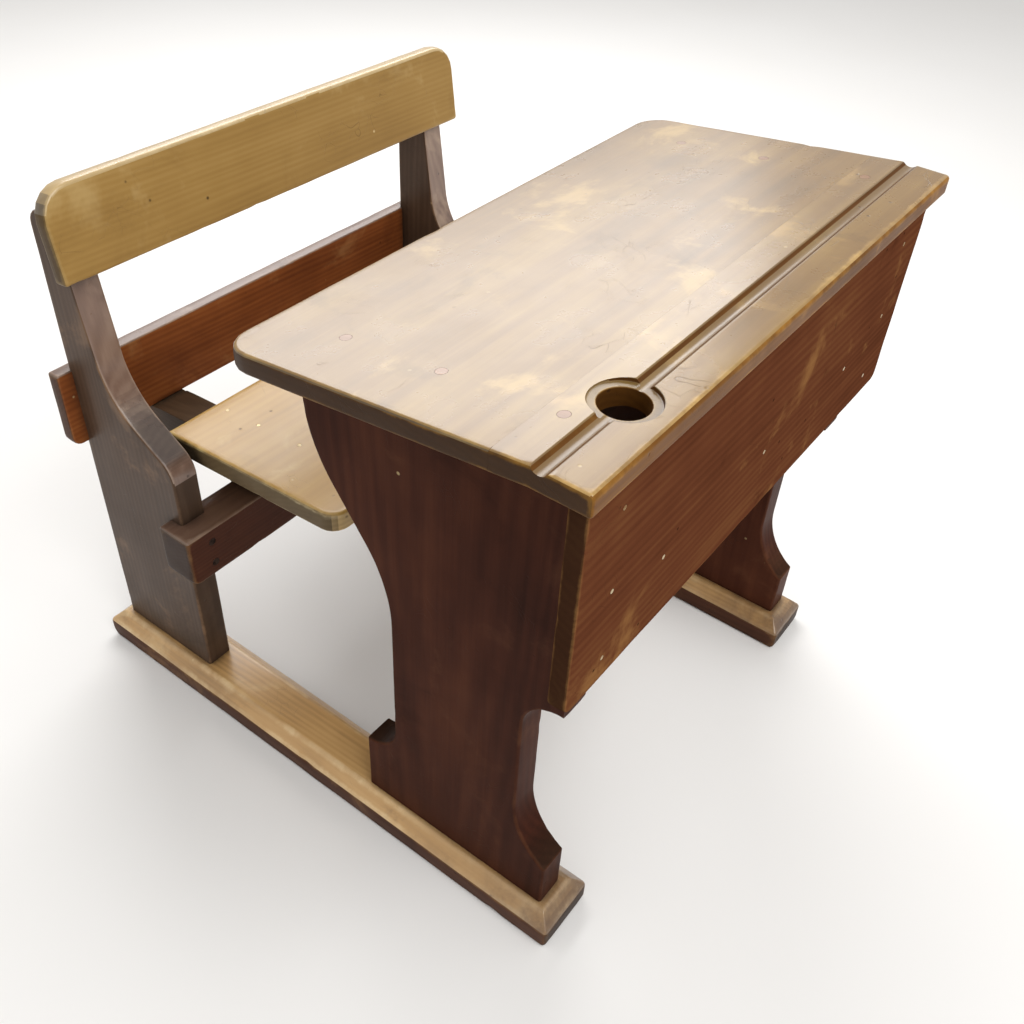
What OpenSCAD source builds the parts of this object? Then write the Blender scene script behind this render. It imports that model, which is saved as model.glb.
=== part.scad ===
// Single-seat school desk: a sloped writing desk and a tip-up bench on two sledge runners.
// X runs across the desk, -Y is the way the pupil faces, +Z is up.
// The origin is on the floor, at the middle of the overall width and depth.
// "Right" and "left" are the seated pupil's, so right is -X.

/* [Writing top] */
// Width of the writing top
top_w = 650; // [600:5:720]
// Height of the flat pen strip above the floor
top_h = 629; // [560:1:760]
// Thickness of the top boards
board_t = 20; // [16:1:26]
// Front edge of the pen strip, measured from the origin
top_front = -345; // [-380:1:-300]
// Sitter's edge of the writing slope
top_back = 6; // [-40:1:60]
// Where the flat strip ends and the slope begins
slope_start = -295; // [-310:1:-250]
// Fall of the writing slope, in degrees
slope_deg = 6.8; // [4:0.1:12]
// Glue line between the pen rail and the writing slope
glue_line = -262; // [-270:1:-220]
// Radius of the two corners at the sitter's edge
sitter_corner_r = 30; // [5:1:60]
// Radius of the two corners at the front edge
front_corner_r = 5; // [2:1:20]

/* [Pen groove and inkwell] */
// Centre line of the pen groove
groove_y = -302.5; // [-315:0.5:-280]
// Radius of the round-bottomed pen groove
groove_r = 8.5; // [5:0.5:14]
// Height of the groove cutter's centre above the strip
groove_lift = 4; // [0:0.5:8]
// Inkwell position across the desk
well_x = -221; // [-260:1:260]
// Radius of the inkwell hole
well_r = 20; // [15:0.5:25]
// Radius of the recess for the inkwell's rim
rim_r = 28; // [22:0.5:34]
// Depth of the recess for the inkwell's rim
rim_depth = 4; // [1:0.5:6]
// Radius of the relief behind the front panel, where the inkwell's cup hangs
cup_relief_r = 22; // [20:0.5:26]
// Depth of that relief below the top
cup_relief_d = 50; // [30:1:80]

/* [Runners] */
// Centre line of each runner from the middle
runner_x = 260.5; // [200:0.5:320]
// Width of a runner
runner_w = 75; // [50:1:100]
// Height of a runner
runner_h = 40; // [25:1:60]
// Bevel along the upper edges of a runner
runner_bevel = 14; // [2:1:18]
// Front end of the runners
runner_front = -340; // [-380:1:-300]
// Back end of the runners
runner_back = 345; // [300:1:380]
// Radius of the lower corner at the back end
runner_heel_r = 14; // [4:1:25]
// Radius of the lower corner at the front end
runner_toe_r = 6; // [2:1:20]

/* [Desk end panels] */
// Outer face of each desk end from the middle
end_x = 279; // [240:1:310]
// Thickness of a desk end
end_t = 34; // [20:1:45]
// Front edge of the leg
leg_front = -277; // [-300:1:-240]
// Rear edge of the leg
leg_back = -124.5; // [-160:0.5:-100]
// Front tip of the foot
toe_y = -315; // [-335:1:-290]
// Rear tip of the foot
heel_y = -85; // [-110:1:-60]
// Radius of the scoop above the toe
toe_scoop_r = 87; // [50:1:120]
// Height where the scoop above the toe starts
toe_scoop_z = 173; // [120:1:220]
// Underside of the head that carries the front panel
head_low = 339; // [310:1:380]
// Height where the rear edge starts to sweep towards the sitter
sweep_z = 319.6; // [260:0.1:360]
// Radius of the hollow part of the sweep
sweep_r1 = 155; // [80:1:220]
// Radius of the round part of the sweep
sweep_r2 = 143; // [80:1:220]
// Lean of the straight part of the sweep from upright, in degrees
sweep_deg = 36; // [20:1:50]
// Length of the straight part of the sweep
sweep_len = 58; // [20:1:90]

/* [Front panel and shelf] */
// Half the width of the front panel
panel_x = 311; // [290:1:330]
// Front face of the front panel
panel_front = -336; // [-345:1:-320]
// Thickness of the front panel
panel_t = 18; // [12:1:24]
// Lower edge of the front panel
panel_low = 388; // [340:1:460]
// Radius of the panel's lower corners
panel_r = 10; // [4:1:30]
// Underside of the book shelf
shelf_z = 459; // [430:1:500]
// Thickness of the book shelf
shelf_t = 14; // [10:1:20]
// Rear edge of the book shelf
shelf_back = -72; // [-120:1:-65]
// Depth of the shelf's housing in each desk end
housing_d = 6; // [3:1:10]

/* [Seat standards] */
// Outer face of each seat standard from the middle
std_x = 277; // [240:1:310]
// Thickness of a seat standard
std_t = 32; // [20:1:40]
// Upright back edge
std_back = 325; // [300:1:340]
// Upright front edge below the seat
std_front = 178; // [150:1:200]
// Top of the standard
std_top = 589; // [560:1:640]
// Radius of the standard's upper rear corner
std_corner_r = 18; // [4:1:30]
// Height where the upright front edge starts to turn in
nose_z = 322; // [300:1:340]
// Radius of the nose
nose_r = 31; // [15:1:45]
// Lean of the straight above the nose from upright, in degrees
shoulder_deg = 57; // [40:1:65]
// Length of that straight
shoulder_len = 41; // [20:1:60]
// Radius of the hollow above it
hollow_r = 94; // [60:1:130]
// Lean of the backrest from upright, in degrees
back_lean = 8; // [4:0.5:14]

/* [Backrest and rails] */
// Length of the backrest board
rest_w = 583; // [540:1:640]
// Thickness of the backrest board
rest_t = 18; // [14:1:26]
// Height of the backrest's lower back corner
rest_low = 526.5; // [500:0.5:560]
// Depth of the backrest board along its lean
rest_d = 93; // [70:1:120]
// Radius of the backrest's upper corners
rest_r = 32; // [10:1:45]
// Half the length of the lower back rail
back_rail_x = 295; // [280:1:315]
// Front face of the lower back rail
back_rail_y = 320; // [312:0.5:324]
// Thickness of the lower back rail
back_rail_t = 17; // [12:1:24]
// Lower edge of the lower back rail
back_rail_z = 312; // [290:0.5:330]
// Upper edge of the lower back rail
back_rail_top = 405; // [380:1:430]
// Half the length of the seat rail
seat_rail_x = 293; // [280:1:315]
// Front face of the seat rail
seat_rail_y = 151.5; // [140:0.5:165]
// Depth of the seat rail
seat_rail_d = 46.5; // [35:0.5:55]
// Top of the seat rail
seat_rail_top = 266.4; // [240:0.1:290]
// Height of the seat rail
seat_rail_h = 65; // [45:1:80]

/* [Seat] */
// Half the length of the seat board
seat_x = 235; // [200:1:242]
// Front edge of the seat board
seat_front = -14.5; // [-40:0.5:20]
// Rear edge of the seat board
seat_back = 237; // [210:1:260]
// Height of the seat's upper face above the seat rail's front edge
seat_h = 347.5; // [320:0.5:380]
// Thickness of the seat board
seat_t = 24; // [16:1:30]
// Backward fall of the seat, in degrees
seat_fall = 3.8; // [0:0.1:6]
// Radius of the seat's front corners
seat_corner_r = 20; // [4:1:40]
// Centre of each bearer from the middle
bearer_x = 167; // [120:1:200]
// Width of a bearer
bearer_w = 45; // [30:1:60]
// Front end of the bearers
bearer_front = 18; // [0:1:60]
// Rear end of the bearers
bearer_back = 333; // [325:1:338]
// Gap between the resting bearers and the rails they meet
rest_gap = 0.3; // [0.1:0.1:1]
// Length of the flat land on a bearer under the lower back rail
land_len = 17; // [15:1:30]

/* [Hinges] */
// Thickness of a hinge leaf
leaf_t = 2.5; // [1.5:0.5:4]
// Width of a hinge leaf from the pin
leaf_w = 27; // [18:1:34]
// Length of a hinge
hinge_len = 39; // [25:1:44]
// Radius of the hinge knuckles
knuckle_r = 4.2; // [3:0.1:6]
// Radius of the hinge pin
pin_r = 2; // [1.5:0.1:3]
// Running clearance between the pin and the knuckles
pin_gap = 0.06; // [0.02:0.01:0.1]
// End gap between neighbouring knuckles
knuckle_gap = 0.4; // [0.2:0.1:1]

/* [Fixings] */
// Radius of the wooden plugs over the screws
plug_r = 5; // [3:0.5:8]
// Length of a plug
plug_len = 6; // [4:1:10]
// Radius of a wood screw's shank
screw_r = 2.2; // [1.5:0.1:3]
// Radius of a wood screw's head
screw_head_r = 4.4; // [3:0.1:6]
// Radius of a nail's shank
nail_r = 1.2; // [0.8:0.1:2]
// Radius of a nail's head
nail_head_r = 2.2; // [1.5:0.1:3]
// Thickness of the stub tenons on the feet
tenon_t = 12; // [8:1:18]
// Depth of the stub tenons
tenon_d = 22; // [10:1:30]

/* [Hidden] */
$fn = 72;
cut = 1;
strip_low = top_h - board_t;
slope_drop = board_t / cos(slope_deg);
kink_y = slope_start + (board_t - slope_drop) / tan(slope_deg);
end_in = end_x - end_t;
end_mid = end_x - end_t / 2;
std_in = std_x - std_t;
std_mid = std_x - std_t / 2;
panel_back = panel_front + panel_t;
seat_rail_back = seat_rail_y + seat_rail_d;
bearer_low = seat_rail_top + rest_gap;
land_z = back_rail_z - rest_gap;
hinge_y = seat_rail_back + leaf_t + 0.15;
hinge_z = bearer_low - leaf_t - 0.15;
knuckle_len = hinge_len / 3;
leaf_clear_r = knuckle_r + 0.4;
relief_r = knuckle_r + 0.5;
plug_y = [-279, -170, -73];
panel_nail_z = [416, 491, 574];
shelf_nail_x = [-180, 0, 180];
seat_nail_y = [50, 103, 165.6, 215];
rest_screw_z = [543, 564];
rest_screw_bite = 12;
back_rail_screw_z = [337, 380];
seat_rail_screw_z = [219, 249];
desk_foot_screw_y = [-270, -130];
std_foot_screw_y = [210, 293];
tenon_inset = 24;

// Height of the writing slope's upper face at depth y
function slope_z(y) = top_h - (y - slope_start) * tan(slope_deg);
// Height of the slope's underside at depth y
function under_z(y) = slope_z(y) - slope_drop;
// Height of the seat's upper face at depth y
function seat_z(y) = seat_h - (y - seat_rail_y) * tan(seat_fall);
// Height of the seat's underside, which is the bearers' top, at depth y
function bearer_top(y) = seat_z(y) - seat_t / cos(seat_fall);

// ---------- helpers ----------

// Stands a (y, z) outline up and extrudes it along X from x0
module along_x(x0, len) {
  translate([x0, 0, 0]) rotate([90, 0, 90]) linear_extrude(len) children();
}

// An axis-aligned rectangle between two corners
module rect(a, b) {
  translate(a) square([b[0] - a[0], b[1] - a[1]]);
}

// An axis-aligned box between two corners
module box(a, b) {
  translate(a) cube(b - a);
}

// The sliver outside a rounded corner: corner point, direction to the centre, radius
module corner_waste(p, dir, r) {
  difference() {
    rect([min(p[0], p[0] + dir[0] * r), min(p[1], p[1] + dir[1] * r)],
         [max(p[0], p[0] + dir[0] * r), max(p[1], p[1] + dir[1] * r)]);
    translate([p[0] + dir[0] * r, p[1] + dir[1] * r]) circle(r);
  }
}

// Repeats a piece on both sides of the middle
module both_sides() {
  children();
  mirror([1, 0, 0]) children();
}

// Moves a piece onto the writing slope, its Z along the slope's normal
module on_slope(x, y) {
  translate([x, y, slope_z(y)]) rotate([-slope_deg, 0, 0]) children();
}

// Moves a piece into the backrest board's own frame, Y through its thickness
module on_backrest() {
  translate([0, std_line(rest_low), rest_low]) rotate([-back_lean, 0, 0])
    translate([0, -rest_t, 0]) children();
}

// Countersunk wood screw pointing down -Z with the top of its head at z = 0
module screw(len, r = screw_r, head_r = screw_head_r) {
  translate([0, 0, -len]) cylinder(r = r, h = len);
  translate([0, 0, r - head_r]) cylinder(r1 = r, r2 = head_r, h = head_r - r);
}

// Nail pointing down -Z with the top of its head at z = 0
module nail(len) {
  translate([0, 0, -len]) cylinder(r = nail_r, h = len);
  translate([0, 0, -1]) cylinder(r = nail_head_r, h = 1);
}

// ---------- shared outlines ----------

// Turning points of the desk end's rear edge
sweep_a = [leg_back + sweep_r1 * (1 - cos(sweep_deg)), sweep_z + sweep_r1 * sin(sweep_deg)];
sweep_b = sweep_a + sweep_len * [sin(sweep_deg), cos(sweep_deg)];
sweep_c = sweep_b + sweep_r2 * [1 - cos(sweep_deg), sin(sweep_deg)];
sweep_mid = sweep_c - [sweep_r2, 0];
sweep_peak = [sweep_c[0], sweep_c[1] - sweep_r2 * tan(sweep_deg / 2)];

// Turning points of the seat standard's front edge
nose_mid = [std_front + nose_r, nose_z];
nose_end = nose_mid + nose_r * [-cos(shoulder_deg), sin(shoulder_deg)];
shoulder_end = nose_end + shoulder_len * [sin(shoulder_deg), cos(shoulder_deg)];
hollow_mid = shoulder_end + hollow_r * [-cos(shoulder_deg), sin(shoulder_deg)];
hollow_end = hollow_mid + hollow_r * [cos(back_lean), -sin(back_lean)];

// Depth of the leaning front edge of the standard at height z
function std_line(z) = hollow_end[0] + (z - hollow_end[1]) * tan(back_lean);

module desk_end_outline() {
  difference() {
    union() {
      polygon([
        [leg_front, runner_h], [leg_back, runner_h], [leg_back, sweep_z], sweep_a, sweep_b,
        sweep_c, [sweep_c[0], under_z(sweep_c[0])], [kink_y, strip_low], [panel_back, strip_low],
        [panel_back, head_low], [leg_front, head_low]
      ]);
      intersection() {
        translate(sweep_mid) circle(sweep_r2);
        polygon([sweep_mid, sweep_b, sweep_peak, sweep_c]);
      }
      difference() {
        rect([toe_y, runner_h], [leg_front, toe_scoop_z]);
        translate([leg_front - toe_scoop_r, toe_scoop_z]) circle(toe_scoop_r);
      }
      difference() {
        rect([leg_back, runner_h], [heel_y, runner_h + 81 + heel_y - leg_back]);
        translate([heel_y, runner_h + 81 + heel_y - leg_back]) circle(heel_y - leg_back);
      }
      difference() {
        rect([panel_back, head_low + panel_back - leg_front], [leg_front, head_low]);
        translate([panel_back, head_low + panel_back - leg_front]) circle(leg_front - panel_back);
      }
    }
    translate([leg_back + sweep_r1, sweep_z]) circle(sweep_r1);
  }
}

module seat_standard_outline() {
  difference() {
    union() {
      polygon([
        [std_front, runner_h], [std_back, runner_h], [std_back, std_top],
        [std_line(std_top), std_top], hollow_end, shoulder_end, nose_end, [std_front, nose_z]
      ]);
      translate(nose_mid) intersection() {
        circle(nose_r);
        polygon([[0, 0], [-nose_r, 0], [-nose_r, nose_r * tan(shoulder_deg / 2)],
                 nose_end - nose_mid]);
      }
    }
    translate(hollow_mid) circle(hollow_r);
    corner_waste([std_back, std_top], [-1, -1], std_corner_r);
    rect([std_front - cut, seat_rail_top - seat_rail_h], [seat_rail_back, seat_rail_top]);
    rect([back_rail_y, back_rail_z], [std_back + cut, back_rail_top]);
  }
}

// Stub tenon under a foot
module foot_tenon(x, y0, y1) {
  box([x - tenon_t / 2, y0 + tenon_inset, runner_h - tenon_d], [x + tenon_t / 2, y1 - tenon_inset, runner_h]);
}

// ---------- fixings, also used to cut their own holes ----------

module top_plug_set() {
  both_sides() for (y = plug_y)
    on_slope(end_mid, y) translate([0, 0, -plug_len]) cylinder(r = plug_r, h = plug_len);
}

module top_screw_set() {
  both_sides() for (y = plug_y)
    on_slope(end_mid, y) translate([0, 0, -plug_len]) screw(42);
}

module panel_nail_set() {
  both_sides() for (z = panel_nail_z)
    translate([end_mid, panel_front, z]) rotate([90, 0, 0]) nail(55);
}

module shelf_nail_set() {
  for (x = shelf_nail_x)
    translate([x, panel_front, shelf_z + shelf_t / 2]) rotate([90, 0, 0]) nail(50);
}

module backrest_screw_set() {
  both_sides() for (z = rest_screw_z)
    translate([std_mid, std_back, z]) rotate([-90, 0, 0]) screw(std_back - std_line(z) + rest_screw_bite);
}

module back_rail_screw_set() {
  both_sides() for (z = back_rail_screw_z)
    translate([std_mid, back_rail_y + back_rail_t, z]) rotate([-90, 0, 0]) screw(50);
}

module seat_rail_screw_set() {
  both_sides() for (z = seat_rail_screw_z)
    translate([std_mid, seat_rail_y, z]) rotate([90, 0, 0]) screw(80);
}

module seat_nail_set() {
  both_sides() for (y = seat_nail_y)
    translate([bearer_x, y, seat_z(y)]) rotate([-seat_fall, 0, 0]) nail(45);
}

module runner_screw_set() {
  both_sides() {
    for (y = desk_foot_screw_y)
      translate([end_mid, y, 0.5]) rotate([180, 0, 0]) screw(78);
    for (y = std_foot_screw_y)
      translate([std_mid, y, 0.5]) rotate([180, 0, 0]) screw(78);
  }
}

module hinge_places() {
  both_sides() translate([bearer_x, hinge_y, hinge_z]) children();
}

module hinge_rail_screw_set() {
  hinge_places() for (x = [-12, 12])
    translate([x, -0.15, -17]) rotate([-90, 0, 0]) screw(26, 1.7, 3.4);
}

module hinge_seat_screw_set() {
  hinge_places() for (x = [-12, 12])
    translate([x, 17, 0.15]) rotate([180, 0, 0]) screw(22, 1.7, 3.4);
}

// Round cutter along the hinge pin
module hinge_relief() {
  hinge_places() rotate([0, 90, 0])
    cylinder(r = relief_r, h = hinge_len + 4, center = true);
}

// One knuckle's outside, between two distances from the hinge's middle
module knuckle(x0, x1, r) {
  translate([x0, 0, 0]) rotate([0, 90, 0]) cylinder(r = r, h = x1 - x0);
}

// ---------- runners ----------

module runner_body() {
  intersection() {
    along_x(runner_x - runner_w / 2, runner_w) difference() {
      polygon([
        [runner_front, 0], [runner_back, 0], [runner_back, runner_h - runner_bevel],
        [runner_back - runner_bevel, runner_h], [runner_front + runner_bevel, runner_h],
        [runner_front, runner_h - runner_bevel]
      ]);
      corner_waste([runner_back, 0], [-1, 1], runner_heel_r);
      corner_waste([runner_front, 0], [1, 1], runner_toe_r);
    }
    translate([runner_x, runner_back + cut, 0]) rotate([90, 0, 0])
      linear_extrude(runner_back - runner_front + 2 * cut) polygon([
        [-runner_w / 2, 0], [runner_w / 2, 0], [runner_w / 2, runner_h - runner_bevel],
        [runner_w / 2 - runner_bevel, runner_h], [runner_bevel - runner_w / 2, runner_h],
        [-runner_w / 2, runner_h - runner_bevel]
      ]);
  }
}

module runner_cut() {
  difference() {
    runner_body();
    foot_tenon(end_mid, toe_y, heel_y);
    foot_tenon(std_mid, std_front, std_back);
    runner_screw_set();
  }
}

module runner_left() {
  color("#7d5330") runner_cut();
}

module runner_right() {
  color("#7d5330") mirror([1, 0, 0]) runner_cut();
}

// ---------- desk ----------

module desk_end_cut() {
  difference() {
    union() {
      along_x(end_in, end_t) desk_end_outline();
      foot_tenon(end_mid, toe_y, heel_y);
    }
    box([end_in - cut, panel_back - cut, shelf_z], [end_in + housing_d, shelf_back, shelf_z + shelf_t]);
    top_screw_set();
    panel_nail_set();
    runner_screw_set();
  }
}

module desk_end_left() {
  color("#3f241a") desk_end_cut();
}

module desk_end_right() {
  color("#3f241a") mirror([1, 0, 0]) desk_end_cut();
}

module pen_rail() {
  color("#8a6240") difference() {
    along_x(-top_w / 2, top_w) polygon([
      [top_front, strip_low], [kink_y, strip_low], [glue_line, under_z(glue_line)],
      [glue_line, slope_z(glue_line)], [slope_start, top_h], [top_front, top_h]
    ]);
    translate([-top_w / 2 - cut, groove_y, top_h + groove_lift]) rotate([0, 90, 0])
      cylinder(r = groove_r, h = top_w + 2 * cut);
    translate([well_x, groove_y, strip_low - 10]) cylinder(r = well_r, h = board_t + 20);
    translate([well_x, groove_y, top_h - rim_depth]) cylinder(r = rim_r, h = rim_depth + cut);
    translate([0, 0, strip_low - cut]) linear_extrude(board_t + 2 * cut) both_sides()
      corner_waste([top_w / 2, top_front], [-1, 1], front_corner_r);
    top_plug_set();
    top_screw_set();
  }
}

module writing_slope() {
  color("#8a6240") difference() {
    along_x(-top_w / 2, top_w) polygon([
      [glue_line, under_z(glue_line)], [top_back, under_z(top_back)],
      [top_back, slope_z(top_back)], [glue_line, slope_z(glue_line)]
    ]);
    translate([0, 0, under_z(top_back) - cut]) linear_extrude(60) both_sides()
      corner_waste([top_w / 2, top_back], [-1, -1], sitter_corner_r);
    top_plug_set();
    top_screw_set();
  }
}

module front_panel() {
  color("#6b3a22") difference() {
    translate([0, panel_back, 0]) rotate([90, 0, 0]) linear_extrude(panel_t) difference() {
      rect([-panel_x, panel_low], [panel_x, strip_low]);
      both_sides() corner_waste([panel_x, panel_low], [-1, 1], panel_r);
    }
    translate([well_x, groove_y, strip_low - cup_relief_d])
      cylinder(r = cup_relief_r, h = cup_relief_d + cut);
    panel_nail_set();
    shelf_nail_set();
  }
}

module book_shelf() {
  color("#5a3a26") difference() {
    box([-end_in - housing_d, panel_back, shelf_z], [end_in + housing_d, shelf_back, shelf_z + shelf_t]);
    shelf_nail_set();
  }
}

// ---------- bench ----------

module seat_standard_cut() {
  difference() {
    union() {
      along_x(std_in, std_t) seat_standard_outline();
      foot_tenon(std_mid, std_front, std_back);
    }
    backrest_screw_set();
    back_rail_screw_set();
    seat_rail_screw_set();
    runner_screw_set();
  }
}

module seat_standard_left() {
  color("#4a2f24") seat_standard_cut();
}

module seat_standard_right() {
  color("#4a2f24") mirror([1, 0, 0]) seat_standard_cut();
}

module backrest_board() {
  color("#a07a42") difference() {
    on_backrest() translate([0, rest_t, 0]) rotate([90, 0, 0]) linear_extrude(rest_t) difference() {
      rect([-rest_w / 2, 0], [rest_w / 2, rest_d]);
      both_sides() corner_waste([rest_w / 2, rest_d], [-1, -1], rest_r);
      both_sides() corner_waste([rest_w / 2, 0], [-1, 1], 4);
    }
    backrest_screw_set();
  }
}

module back_rail() {
  color("#6a3822") difference() {
    translate([0, back_rail_y + back_rail_t, 0]) rotate([90, 0, 0])
      linear_extrude(back_rail_t) difference() {
        rect([-back_rail_x, back_rail_z], [back_rail_x, back_rail_top]);
        both_sides() corner_waste([back_rail_x, back_rail_z], [-1, 1], 12);
      }
    back_rail_screw_set();
  }
}

module seat_rail() {
  color("#63361f") difference() {
    translate([0, seat_rail_back, 0]) rotate([90, 0, 0]) linear_extrude(seat_rail_d) difference() {
      rect([-seat_rail_x, seat_rail_top - seat_rail_h], [seat_rail_x, seat_rail_top]);
      both_sides() corner_waste([seat_rail_x, seat_rail_top - seat_rail_h], [-1, 1], 10);
    }
    seat_rail_screw_set();
    hinge_relief();
    hinge_rail_screw_set();
  }
}

module seat_board() {
  color("#a9833f") difference() {
    along_x(-seat_x, 2 * seat_x) polygon([
      [seat_front, bearer_top(seat_front)], [seat_back, bearer_top(seat_back)],
      [seat_back, seat_z(seat_back)], [seat_front, seat_z(seat_front)]
    ]);
    translate([0, 0, bearer_top(seat_back) - cut]) linear_extrude(80) both_sides()
      corner_waste([seat_x, seat_front], [-1, 1], seat_corner_r);
    seat_nail_set();
  }
}

module seat_bearer_cut() {
  difference() {
    along_x(bearer_x - bearer_w / 2, bearer_w) polygon([
      [bearer_front, bearer_top(bearer_front) - 34], [seat_rail_y - 12, bearer_low],
      [seat_rail_back + 34, bearer_low], [bearer_back, bearer_top(bearer_back) - 30],
      [bearer_back, land_z], [bearer_back - land_len, land_z],
      [bearer_back - land_len, bearer_top(bearer_back - land_len)],
      [bearer_front, bearer_top(bearer_front)]
    ]);
    hinge_relief();
    hinge_seat_screw_set();
    seat_nail_set();
  }
}

module seat_bearer_left() {
  color("#5c4130") seat_bearer_cut();
}

module seat_bearer_right() {
  color("#5c4130") mirror([1, 0, 0]) seat_bearer_cut();
}

// ---------- hinges ----------

module hinge_rail_leaves() {
  color("#4a4540") difference() {
    hinge_places() difference() {
      union() {
        box([-hinge_len / 2, -leaf_t - 0.15, -leaf_w], [hinge_len / 2, -0.15, -0.5]);
        knuckle(-hinge_len / 2, hinge_len / 2, knuckle_r);
      }
      knuckle(-knuckle_len / 2, knuckle_len / 2, leaf_clear_r);
      knuckle(-hinge_len, hinge_len, pin_r + pin_gap);
    }
    hinge_rail_screw_set();
  }
}

module hinge_seat_leaves() {
  color("#4a4540") difference() {
    hinge_places() difference() {
      union() {
        box([-hinge_len / 2, 0.5, 0.15], [hinge_len / 2, leaf_w, leaf_t + 0.15]);
        knuckle(knuckle_gap - knuckle_len / 2, knuckle_len / 2 - knuckle_gap, knuckle_r);
      }
      knuckle(-hinge_len, knuckle_gap - knuckle_len / 2, leaf_clear_r);
      knuckle(knuckle_len / 2 - knuckle_gap, hinge_len, leaf_clear_r);
      knuckle(-hinge_len, hinge_len, pin_r + pin_gap);
    }
    hinge_seat_screw_set();
  }
}

module hinge_pins() {
  color("#5a544d") hinge_places() {
    knuckle(-hinge_len / 2 - cut, hinge_len / 2 + cut, pin_r);
    knuckle(-hinge_len / 2 - 1.2, -hinge_len / 2, pin_r + 1);
    knuckle(hinge_len / 2, hinge_len / 2 + 1.2, pin_r + 1);
  }
}

module hinge_rail_screws() {
  color("#5a544d") hinge_rail_screw_set();
}

module hinge_seat_screws() {
  color("#5a544d") hinge_seat_screw_set();
}

// ---------- fixings ----------

module top_plugs() {
  color("#7c5636") top_plug_set();
}

module top_screws() {
  color("#6a6258") top_screw_set();
}

module panel_nails() {
  color("#8d7b5c") panel_nail_set();
}

module shelf_nails() {
  color("#8d7b5c") shelf_nail_set();
}

module backrest_screws() {
  color("#6a6258") backrest_screw_set();
}

module back_rail_screws() {
  color("#6a6258") back_rail_screw_set();
}

module seat_rail_screws() {
  color("#6a6258") seat_rail_screw_set();
}

module seat_nails() {
  color("#8d7b5c") seat_nail_set();
}

module runner_screws() {
  color("#6a6258") runner_screw_set();
}

runner_right();
runner_left();
desk_end_right();
desk_end_left();
seat_standard_right();
seat_standard_left();
pen_rail();
writing_slope();
front_panel();
book_shelf();
backrest_board();
back_rail();
seat_rail();
seat_board();
seat_bearer_right();
seat_bearer_left();
hinge_rail_leaves();
hinge_seat_leaves();
hinge_pins();
hinge_rail_screws();
hinge_seat_screws();
top_plugs();
top_screws();
panel_nails();
shelf_nails();
backrest_screws();
back_rail_screws();
seat_rail_screws();
seat_nails();
runner_screws();
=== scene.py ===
"""A single school desk with a tip-up bench, in old varnished timber.

Each board is rebuilt from its own outline with rounded, worn edges, where the
CAD frame says it is. Lengths inside the board builder are millimetres.
"""
import math

import bmesh
import bpy
from mathutils import Euler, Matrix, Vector, noise


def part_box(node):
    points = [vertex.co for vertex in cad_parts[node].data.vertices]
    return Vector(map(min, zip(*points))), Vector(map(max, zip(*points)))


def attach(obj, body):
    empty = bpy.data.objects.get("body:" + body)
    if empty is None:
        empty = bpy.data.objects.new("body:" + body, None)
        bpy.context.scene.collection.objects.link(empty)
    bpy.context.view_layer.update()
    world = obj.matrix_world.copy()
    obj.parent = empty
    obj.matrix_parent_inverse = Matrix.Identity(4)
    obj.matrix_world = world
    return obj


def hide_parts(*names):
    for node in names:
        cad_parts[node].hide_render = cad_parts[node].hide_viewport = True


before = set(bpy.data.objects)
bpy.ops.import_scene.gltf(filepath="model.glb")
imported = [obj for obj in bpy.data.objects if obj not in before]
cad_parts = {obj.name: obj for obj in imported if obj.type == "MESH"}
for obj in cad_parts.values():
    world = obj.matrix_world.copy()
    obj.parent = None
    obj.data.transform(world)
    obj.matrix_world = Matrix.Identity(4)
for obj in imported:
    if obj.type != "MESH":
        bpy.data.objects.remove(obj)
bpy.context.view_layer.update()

MM = 0.001
FRAME, SEAT = "frame", "seat"

# ---------------------------------------------------------------- outlines


def arc(centre, radius, start, end, steps):
    """Points on an arc, angles in degrees, ends included."""
    points = []
    for k in range(steps + 1):
        a = math.radians(start + (end - start) * k / steps)
        points.append((centre[0] + radius * math.cos(a), centre[1] + radius * math.sin(a)))
    return points


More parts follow.
